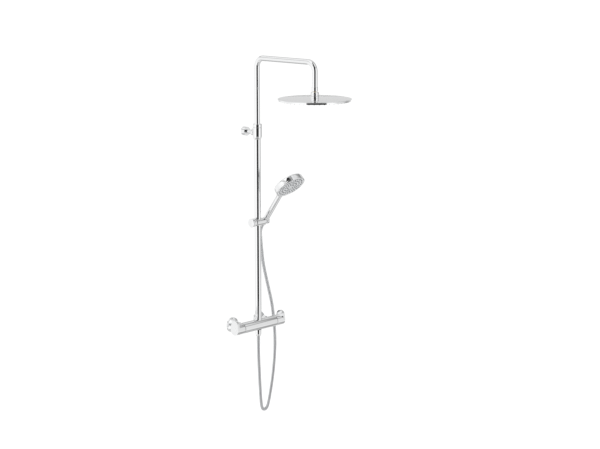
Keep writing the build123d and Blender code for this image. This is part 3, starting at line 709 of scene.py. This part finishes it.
# ---------------------------------------------------------------- riser, arm and bracket
@dataclass
class Riser:
    """Telescopic riser, overhead arm, collar and wall bracket."""

    finishes: Finishes
    foot: Vector = Vector((0.0, -0.078, 0.0))
    arm_z: float = 1086.0
    drop_y: float = -394.0
    bend: float = 35.0
    bracket_z: float = 788.5

    def turned(self, name: str, outline: list[tuple[float, float, float]], replaced: str,
               direction: Direction = Direction.UP, origin: Vector | None = None, steps: int = 128) -> None:
        """One turned piece of the column.

        Args:
            name: the piece's name.
            outline: (radius, height, rounding) corners in millimetres.
            replaced: the CAD node it stands for.
            direction: the way its axis points.
            origin: where the axis starts, at the riser's foot if left out.
            steps: steps of the full turn.
        """
        bm = bmesh.new()
        lathe(bm, outline, aimed(origin or self.foot, Vector(direction.value)), steps)
        finished(bm, name, self.finishes.chrome, "column", (replaced,))

    def arm_line(self) -> list[Vector]:
        """Centre points from inside the lower tube, over the arm and down the drop."""
        riser_y = self.foot.y / MM
        flat = [(riser_y, 560.0), (riser_y, 800.0)]
        flat += arc((riser_y - self.bend, self.arm_z - self.bend), self.bend, 0, 90, 28)
        flat += arc((self.drop_y + self.bend, self.arm_z - self.bend), self.bend, 90, 180, 28)
        flat += [(self.drop_y, 990.3)]
        return [Vector((0.0, y * MM, z * MM)) for y, z in flat]

    def build(self) -> None:
        """Builds the riser's shown pieces."""
        self.turned("riser_tube", [(11.5, 10, 0), (13, 10, 0.3), (13, 808, 0.3), (11.5, 808, 0.3)],
                    "lower_riser_tube", steps=160)
        bm = bmesh.new()
        swept(bm, self.arm_line(), 11.0 * MM, 96)
        finished(bm, "overhead_arm", self.finishes.chrome, "arm", ("arm_tube",))
        collar = bmesh.new()
        lathe(collar, [(13.06, 762, 0), (14.6, 762, 0.5), (18, 773, 3.0), (18, 809, 0.7), (15.4, 809, 0),
                       (15.4, 802, 0), (13.06, 802, 0)], aimed(self.foot, Vector(Direction.UP.value)), 128)
        boss = Vector((0, self.foot.y, self.bracket_z * MM))
        lathe(collar, [(8.35, 16.5, 0), (13.5, 13.6, 0), (13.5, 27, 1.6), (8.35, 27, 0.4)],
              aimed(boss, Vector(Direction.WALL.value)), 96)
        finished(collar, "collar", self.finishes.chrome, "column", ("collar_body",))
        self.turned("collar_nut", [(15.5, 809.4, 0), (18, 809.4, 0.7), (18, 823.5, 2.4), (11.3, 823.5, 0.6),
                                   (11.3, 818.2, 0), (15.5, 818.2, 0)], "collar_clamp_nut")
        wall = Vector((0, 0, self.bracket_z * MM))
        self.turned("bracket_rod", [(0, 6.5, 0), (8.3, 6.5, 0), (8.3, 60.5, 0.6), (0, 60.5, 0)], "bracket_stem",
                    Direction.ROOM, wall, 96)
        self.turned("bracket_cover", [(15.6, 0, 0), (17.5, 0, 0.4), (17.5, 20.5, 1.6), (8.4, 20.5, 0.5),
                                      (8.4, 18.0, 0), (15.6, 18.0, 0)], "bracket_rosette", Direction.ROOM, wall, 96)
        self.turned("hose_outlet_nut", [(6.6, -46, 0), (9.0, -46, 0.6), (11.2, -41, 1.0), (11.9, -37, 1.0),
                                        (11.9, -22.1, 0.6), (10.45, -22.1, 0.2), (10.45, -36, 0), (6.6, -36, 0)],
                    "hose_lower_nut", steps=96)


# ---------------------------------------------------------------- rain head
@dataclass
class RainHead:
    """Thin disc with its hub, and the ring nut at the drop's end."""

    finishes: Finishes
    hub: Vector = Vector((0.0, -0.394, 0.0))
    disc_r: float = 142.5
    ring_low: float = 976.0
    ring_top: float = 992.5

    def build(self) -> None:
        """Builds the rain head's shown pieces."""
        up = aimed(self.hub, Vector(Direction.UP.value))
        disc = bmesh.new()
        lathe(disc, [(5, 946.6, 0), (141.4, 945.0, 0.3), (self.disc_r, 945.8, 0.5), (self.disc_r, 947.5, 0.8),
                     (24, 949.2, 3.0), (17.4, 950.5, 0.6), (5, 950.5, 0)], up, 160)
        finished(disc, "rain_disc", self.finishes.disc, "rain_head", ("head_top_plate",))
        nut = bmesh.new()
        lathe(nut, [(8.6, self.ring_low, 0), (12.5, self.ring_low, 0.8), (12.5, self.ring_top, 1.2),
                    (11.06, self.ring_top, 0.3), (11.06, 990, 0), (8.6, 990, 0)], up, 96)
        finished(nut, "drop_ring", self.finishes.chrome, "arm", ("drop_nut",))


# ---------------------------------------------------------------- slider
@dataclass
class Slider:
    """Sliding block and its clamp knob."""

    finishes: Finishes
    centre: Vector = Vector((0.0, -0.078, 0.426))
    block_r: float = 13.5
    half_span: float = 5.5
    bore_r: float = 13.2
    block_left: float = -17.0
    block_right: float = 22.0

    def build(self) -> None:
        """Builds the slider's shown pieces."""
        right = aimed(self.centre, Vector(Direction.RIGHT.value), Vector((0, 1, 0)))
        outline = (arc((self.half_span, 0), self.block_r, -90, 90, 36)
                   + arc((-self.half_span, 0), self.block_r, 90, 270, 36))
        block = bmesh.new()
        extruded(block, outline, self.block_right, self.block_left, 1.0, right)
        bored(block, [(0, -20, 0), (self.bore_r, -20, 0), (self.bore_r, 20, 0), (0, 20, 0)],
              aimed(self.centre, Vector(Direction.UP.value)))
        finished(block, "slider_block", self.finishes.chrome, "slider", ("slider_body",))
        knob = bmesh.new()
        left = aimed(self.centre + Vector((self.block_left * MM, 0, 0)), Vector(Direction.LEFT.value))
        lathe(knob, [(0, 0.3, 0), (16.6, 0.3, 0.8), (16.6, 9.0, 1.2), (15.2, 11.5, 0.6), (16.6, 15.0, 1.5),
                     (17.8, 18.0, 1.5), (17.8, 21.2, 1.3), (10, 22.3, 3.0), (0, 22.6, 0)], left, 128)
        finished(knob, "clamp_knob", self.finishes.chrome, "slider_clamp", ("slider_knob",))


# ---------------------------------------------------------------- hand shower
@dataclass
class HandShower:
    """Round head with a bright rim and rings of nozzles, on a slim handle."""

    finishes: Finishes
    centre: Vector = Vector((0.040, -0.2252, 0.5795))
    tilt: float = math.radians(42.0)
    lean: float = math.radians(36.7)
    seat: Vector = Vector((0.040, -0.078, 0.426))
    face_r: float = 63.0
    shell_r: float = 62.2
    inner_r: float = 58.6
    nozzle_rings: tuple[tuple[float, int], ...] = ((14, 10), (26, 18), (38, 26), (50, 32))

    def face_place(self) -> Matrix:
        """Placement on the face, local +Z the way the water goes."""
        normal = Vector((0, -math.sin(self.tilt), -math.cos(self.tilt)))
        return aimed(self.centre, normal)

    def handle_place(self) -> Matrix:
        """Placement on the holder's axis, local +Z along the handle."""
        axis = Vector((0, -math.sin(self.lean), math.cos(self.lean)))
        return aimed(self.seat, axis)

    def housing(self) -> None:
        """Round housing with a straight side and a slightly domed back."""
        bm = bmesh.new()
        lathe(bm, [(0, -28, 0), (22, -27.8, 4), (40, -27.2, 4), (53, -26.2, 4), (self.shell_r, -24.6, 5.5),
                   (self.shell_r, -6.2, 0.5), (self.inner_r, -6.2, 0), (self.inner_r, -20, 0), (0, -24, 0)],
              self.face_place(), 160)
        finished(bm, "head_housing", self.finishes.chrome, "handset", ("handset_head_shell",))

    def rim(self) -> None:
        """Bright ring round the face."""
        bm = bmesh.new()
        lathe(bm, [(self.inner_r, -6.0, 0), (self.face_r, -6.0, 0.7), (self.face_r, 0, 1.3), (59.6, 0.1, 0.5),
                   (self.inner_r, -1, 0)], self.face_place(), 160)
        finished(bm, "head_rim", self.finishes.chrome, "handset", ("handset_rim_ring",))

    def face(self) -> None:
        """Spray face with shallow rings and its nozzles."""
        place = self.face_place()
        plate = bmesh.new()
        profile = [(0, -4, 0), (58.5, -4, 0), (58.5, -0.8, 0.3), (55, -0.8, 0.3)]
        for radius, _ in reversed(self.nozzle_rings):
            profile += [(radius + 3.6, -0.8, 0.2), (radius + 3.0, -1.5, 0.2), (radius - 3.0, -1.5, 0.2),
                        (radius - 3.6, -0.8, 0.2)]
        lathe(plate, profile + [(0, -0.8, 0)], place, 96)
        finished(plate, "spray_face", self.finishes.face, "handset", ("handset_spray_plate",))
        nozzles = bmesh.new()
        for radius, count in self.nozzle_rings:
            for index in range(count):
                turn = 2 * math.pi * index / count
                spot = place @ Matrix.Translation((radius * MM * math.cos(turn), radius * MM * math.sin(turn), 0))
                lathe(nozzles, [(0, -3.6, 0), (2.1, -3.6, 0), (2.1, -0.6, 0.4), (1.5, 1.0, 0.3), (0.8, 1.0, 0),
                                (0.7, 0, 0), (0, 0, 0)], spot, 16)
        finished(nozzles, "spray_nozzles", self.finishes.silicone, "handset", ("handset_nozzle_mat",))

    def handle(self) -> None:
        """Slim tapered handle that swells a little where it meets the head."""
        bm = bmesh.new()
        lathe(bm, [(8.6, 13.8, 0), (11.7, 13.8, 0.9), (11.0, 100, 20), (10.6, 138, 8), (11.4, 158, 0.5), (8.6, 158, 0)],
              self.handle_place(), 128)
        finished(bm, "hand_grip", self.finishes.chrome, "handset", ("handset_handle",))

    def build(self) -> None:
        """Builds the hand shower's shown pieces."""
        self.housing()
        self.rim()
        self.face()
        self.handle()


# ---------------------------------------------------------------- hose
HOSE_ROUTE_MM = [
    (0, -78, -46),
    (0, -78, -110),
    (5, -76, -180),
    (12, -73, -250),
    (21, -68, -312),
    (32, -62, -359),
    (51, -53, -377),
    (78, -42, -381),
    (100, -32, -369),
    (122, -22, -326),
    (138, -20, -265),
    (149, -20, -190),
    (153, -21, -110),
    (147, -22, -35),
    (135, -24, 45),
    (113, -27, 115),
    (87, -33, 185),
    (66, -39, 245),
    (52, -46, 300),
    (43, -50, 350),
    (40, -49.9, 388.3),
    (40, -67.2, 411.6),
]
LOWER_SEAM = 16
UPPER_SEAM = 18
HOSE_BOTTOM_Z = -0.04


@dataclass
class Hose:
    """Spiral hose from the mixer's outlet to the hand shower.

    It is one hose, in three lengths that stand for its three CAD nodes.
    """

    finishes: Finishes
    radius: float = 6.5 * MM
    groove: float = 0.55 * MM
    pitch: float = 4.2 * MM
    around: int = 20
    per_turn: int = 6

    def centreline(self) -> list[Vector]:
        """Points along the route's smooth spline."""
        curve = bpy.data.curves.new("hose_route", "CURVE")
        curve.dimensions = "3D"
        curve.resolution_u = 24
        spline = curve.splines.new("NURBS")
        spline.points.add(len(HOSE_ROUTE_MM) - 1)
        for point, place in zip(spline.points, HOSE_ROUTE_MM):
            point.co = (place[0] * MM, place[1] * MM, place[2] * MM, 1.0)
        spline.order_u = 3
        spline.use_endpoint_u = True
        holder = bpy.data.objects.new("hose_route", curve)
        line = bpy.data.meshes.new_from_object(holder)
        points = [vert.co.copy() for vert in line.vertices]
        bpy.data.meshes.remove(line)
        bpy.data.objects.remove(holder)
        bpy.data.curves.remove(curve)
        return points

    def lengths(self) -> list[tuple[str, str, str, list[Vector]]]:
        """Cuts the line where the CAD nodes meet.

        Returns:
            (name, body at its low end, body at its high end, points) of each length, from the mixer up.
        """
        line = self.centreline()
        first = self.nearest(line, LOWER_SEAM)
        second = self.nearest(line, UPPER_SEAM)
        return [
            ("hose_lower", "column", "slider", line[:first + 1]),
            ("hose_middle", "slider", "holder", line[first:second + 1]),
            ("hose_upper", "holder", "handset", line[second:]),
        ]

    @staticmethod
    def nearest(line: list[Vector], seam: int) -> int:
        """Index of the point of the line that is nearest the middle of a run of the route.

        Args:
            line: centre points.
            seam: index of the route point that the run starts from.

        Returns:
            The index.
        """
        middle_of_run = (Vector(HOSE_ROUTE_MM[seam]) + Vector(HOSE_ROUTE_MM[seam + 1])) * 0.5 * MM
        return min(range(len(line)), key=lambda index: (line[index] - middle_of_run).length)

    def tube(self, name: str, line: list[Vector], start: float) -> tuple[bmesh.types.BMesh, float]:
        """Skins one length with its spiral.

        Args:
            name: not used.
            line: centre points.
            start: length of hose before this one, which keeps the spiral in step.

        Returns:
            The mesh and the length reached.
        """
        bm = bmesh.new()
        crest = bm.verts.layers.float.new("crest")
        run = start
        step = self.pitch / self.per_turn
        places: list[tuple[Vector, Vector, float]] = []
        for before, after in zip(line, line[1:]):
            span = (after - before).length
            pieces = max(1, round(span / step))
            for k in range(pieces):
                places.append((before.lerp(after, k / pieces), (after - before).normalized(), run + span * k / pieces))
            run += span
        places.append((line[-1], (line[-1] - line[-2]).normalized(), run))
        side = places[0][1].orthogonal().normalized()
        rings: list[list[bmesh.types.BMVert]] = []
        for centre, heading, along in places:
            side = (side - heading * side.dot(heading)).normalized()
            made = bmesh.ops.create_circle(bm, cap_ends=False, segments=self.around, radius=self.radius)
            place = aimed(centre, heading, side)
            ring = made["verts"]
            for index, vert in enumerate(ring):
                turn = index / self.around
                phase = (along / self.pitch - turn) % 1.0
                lift = abs(math.sin(math.pi * phase)) ** 0.6
                vert.co *= 1.0 - self.groove / self.radius * (1.0 - lift)
                # crest is 1 on the crests and 0 in the grooves; the hose finish also uses it to paint shade in the
                # grooves.
                vert[crest] = lift
            bmesh.ops.transform(bm, matrix=place, verts=ring)
            rings.append(ring)
        for low, high in zip(rings, rings[1:]):
            for index in range(self.around):
                after = (index + 1) % self.around
                bm.faces.new((low[index], low[after], high[after], high[index]))
        bm.faces.new(rings[0])
        bm.faces.new(rings[-1])
        return bm, run

    def build(self) -> None:
        """Builds the three lengths, each left unattached in world space."""
        reached = 0.0
        for name, body, next_body, line in self.lengths():
            bm, after = self.tube(name, line, reached)
            start = Vector((0, 0, HOSE_BOTTOM_Z)) if body == "column" else line[0]
            end = Vector((0, 0, line[-1].z)) if body == "column" else line[-1]
            piece = finished(bm, f"{name}_spiral", self.finishes.hose, body, (name,),
                             (next_body, start, end))
            reached = after
        LOG.info("hose length %.3f m", reached)


# ---------------------------------------------------------------- studio
AROUND_STOPS = (
    (-180, 0.66), (-155, 0.66), (-130, 0.90), (-91, 0.86), (-60, 1.0), (-28, 1.0), (-25, 0.03), (36, 0.03),
    (39, 1.0), (60, 1.0), (76, 0.75), (100, 0.70), (118, 0.34), (134, 0.40), (150, 0.66), (180, 0.66),
)
RISE_STOPS = (
    (-1.0, 0.92), (-0.80, 0.86), (-0.70, 0.55), (-0.64, 0.55), (-0.56, 1.0), (0.36, 1.0), (0.44, 0.56),
    (0.54, 0.58), (0.62, 1.0), (1.0, 1.0),
)


@dataclass
class Studio:
    """Pale floor, white surround with one dark zone, soft lights and the camera."""

    heading: float = math.radians(45.78)
    tilt: float = math.radians(10.68)
    eye: tuple[float, float, float] = (-4.42225, -4.61853, 1.61032)
    lens: float = 96.0
    room_level: float = 1.10
    backdrop_level: float = 1.05
    floor_drop: float = 0.35

    def camera(self) -> None:
        """Places the camera to the left of the column, looking a little down."""
        data = bpy.data.cameras.new("camera")
        data.lens = self.lens
        data.sensor_width = 36.0
        data.clip_end = 100.0
        look = Vector((math.sin(self.heading) * math.cos(self.tilt), math.cos(self.heading) * math.cos(self.tilt),
                       -math.sin(self.tilt)))
        camera = bpy.data.objects.new("camera", data)
        camera.location = self.eye
        camera.rotation_euler = look.to_track_quat("-Z", "Y").to_euler()
        bpy.context.scene.collection.objects.link(camera)
        bpy.context.scene.camera = camera

    def surround(self) -> None:
        """White room whose level depends on the compass direction and the rise of a ray.

        AROUND_STOPS hold (degrees towards the camera's right, level) and RISE_STOPS (rise, level), where a rise of 1
        is straight up; 0 degrees is back at the camera. Rays well below the horizon see less of the dark zone.
        """
        world = bpy.data.worlds.new("studio")
        world.use_nodes = True
        bpy.context.scene.world = world
        shader = Shader(world.node_tree)
        ray = shader.wire(shader.node("ShaderNodeTexCoord", {}, {}), "Generated")
        x, y, height = shader.axes(ray)
        turn_x = -math.sin(self.heading)
        turn_y = -math.cos(self.heading)
        ahead = x * turn_x + y * turn_y
        beside = x * -turn_y + y * turn_x
        angle = beside.angle_from(ahead) * (0.5 / math.pi) + 0.5
        around = shader.wire(shader.node("ShaderNodeValToRGB", {"stops": [
            ((degrees + 180.0) / 360.0, level) for degrees, level in AROUND_STOPS]}, {0: angle}))
        above = shader.wire(shader.node("ShaderNodeValToRGB", {"stops": [
            (0.5 + rise / 2, level) for rise, level in RISE_STOPS]}, {0: height * 0.5 + 0.5}))
        sunk = ((height + 0.34) * -9.0).clamped()
        low = around * 0.55 + 0.40
        level = (around * (1.0 - sunk) + low * sunk) * above
        path = shader.wire(shader.node("ShaderNodeLightPath", {}, {}), "Is Camera Ray")
        room = shader.node("ShaderNodeBackground", {}, {"Color": level, "Strength": self.room_level})
        white = shader.node("ShaderNodeBackground", {},
                            {"Color": (1.0, 1.0, 1.0, 1.0), "Strength": self.backdrop_level})
        mixed = shader.node("ShaderNodeMixShader", {}, {0: path, 1: shader.wire(room), 2: shader.wire(white)})
        shader.node("ShaderNodeOutputWorld", {}, {"Surface": shader.wire(mixed)})

    def lights(self) -> None:
        """Two large soft lamps that model the dull pieces."""
        for name, place, size, watts in (("left_lamp", (-2.6, -1.6, 2.4), 1.6, 34.0),
                                         ("right_lamp", (2.4, -2.4, 1.8), 1.4, 20.0)):
            data = bpy.data.lights.new(name, "AREA")
            data.size = size
            data.energy = watts
            lamp = bpy.data.objects.new(name, data)
            lamp.location = place
            lamp.rotation_euler = (Vector((0, -0.1, 0.4)) - Vector(place)).to_track_quat("-Z", "Y").to_euler()
            lamp.visible_glossy = False
            bpy.context.scene.collection.objects.link(lamp)

    def floor(self) -> None:
        """Round pale floor well below the hose."""
        bm = bmesh.new()
        bmesh.ops.create_circle(bm, cap_ends=True, segments=96, radius=2.4)
        bmesh.ops.translate(bm, vec=(0, 0, CAD_BOX[0][2] - self.floor_drop), verts=bm.verts)
        mesh = bpy.data.meshes.new("floor")
        bm.to_mesh(mesh)
        bm.free()
        paint = bpy.data.materials.new("pale_floor")
        paint.use_nodes = True
        shader = Shader(paint.node_tree)
        tone = shader.noise(shader.place(), 3.0, 2.0, 0.4)
        shader.surface({"Roughness": 0.9, "Emission Strength": 0.45, "Emission Color": (1.0, 1.0, 1.0, 1.0)},
                       {"Base Color": shader.blend(tone, (0.90, 0.90, 0.90), (0.93, 0.93, 0.93))})
        mesh.materials.append(paint)
        floor = bpy.data.objects.new("floor", mesh)
        floor.visible_glossy = False
        bpy.context.scene.collection.objects.link(floor)

    def build(self) -> None:
        """Sets everything up."""
        self.camera()
        self.surround()
        self.lights()
        self.floor()
        bpy.context.scene.view_settings.view_transform = "Standard"
        bpy.context.scene.view_settings.look = "None"


# ---------------------------------------------------------------- carried-over CAD nodes
@dataclass
class Frame:
    """The CAD nodes, each given its finish and smooth turned faces."""

    finishes: Finishes

    def build(self) -> None:
        """Dresses every CAD node by its slot."""
        slots = {entry["node"]: entry["material_slot"] for entry in frame["record"]["subparts"]}
        for name, piece in frame["nodes"].items():
            piece.data.materials.clear()
            piece.data.materials.append(self.finishes.for_slot(slots[name]))
            piece.data.shade_smooth()
            weld = piece.modifiers.new("weld", "WELD")
            weld.merge_threshold = MERGE
            split = piece.modifiers.new("edges", "EDGE_SPLIT")
            split.split_angle = SMOOTH_ANGLE
        LOG.info("dressed %d CAD nodes", len(frame["nodes"]))


def main() -> None:
    """Builds the studio and every sub-assembly."""
    logging.basicConfig(level=logging.INFO, format="%(name)s: %(message)s")
    finishes = Finishes()
    Studio().build()
    Frame(finishes).build()
    for assembly in (Mixer, Riser, RainHead, Slider, HandShower, Hose):
        assembly(finishes).build()


if __name__ == "__main__":
    main()
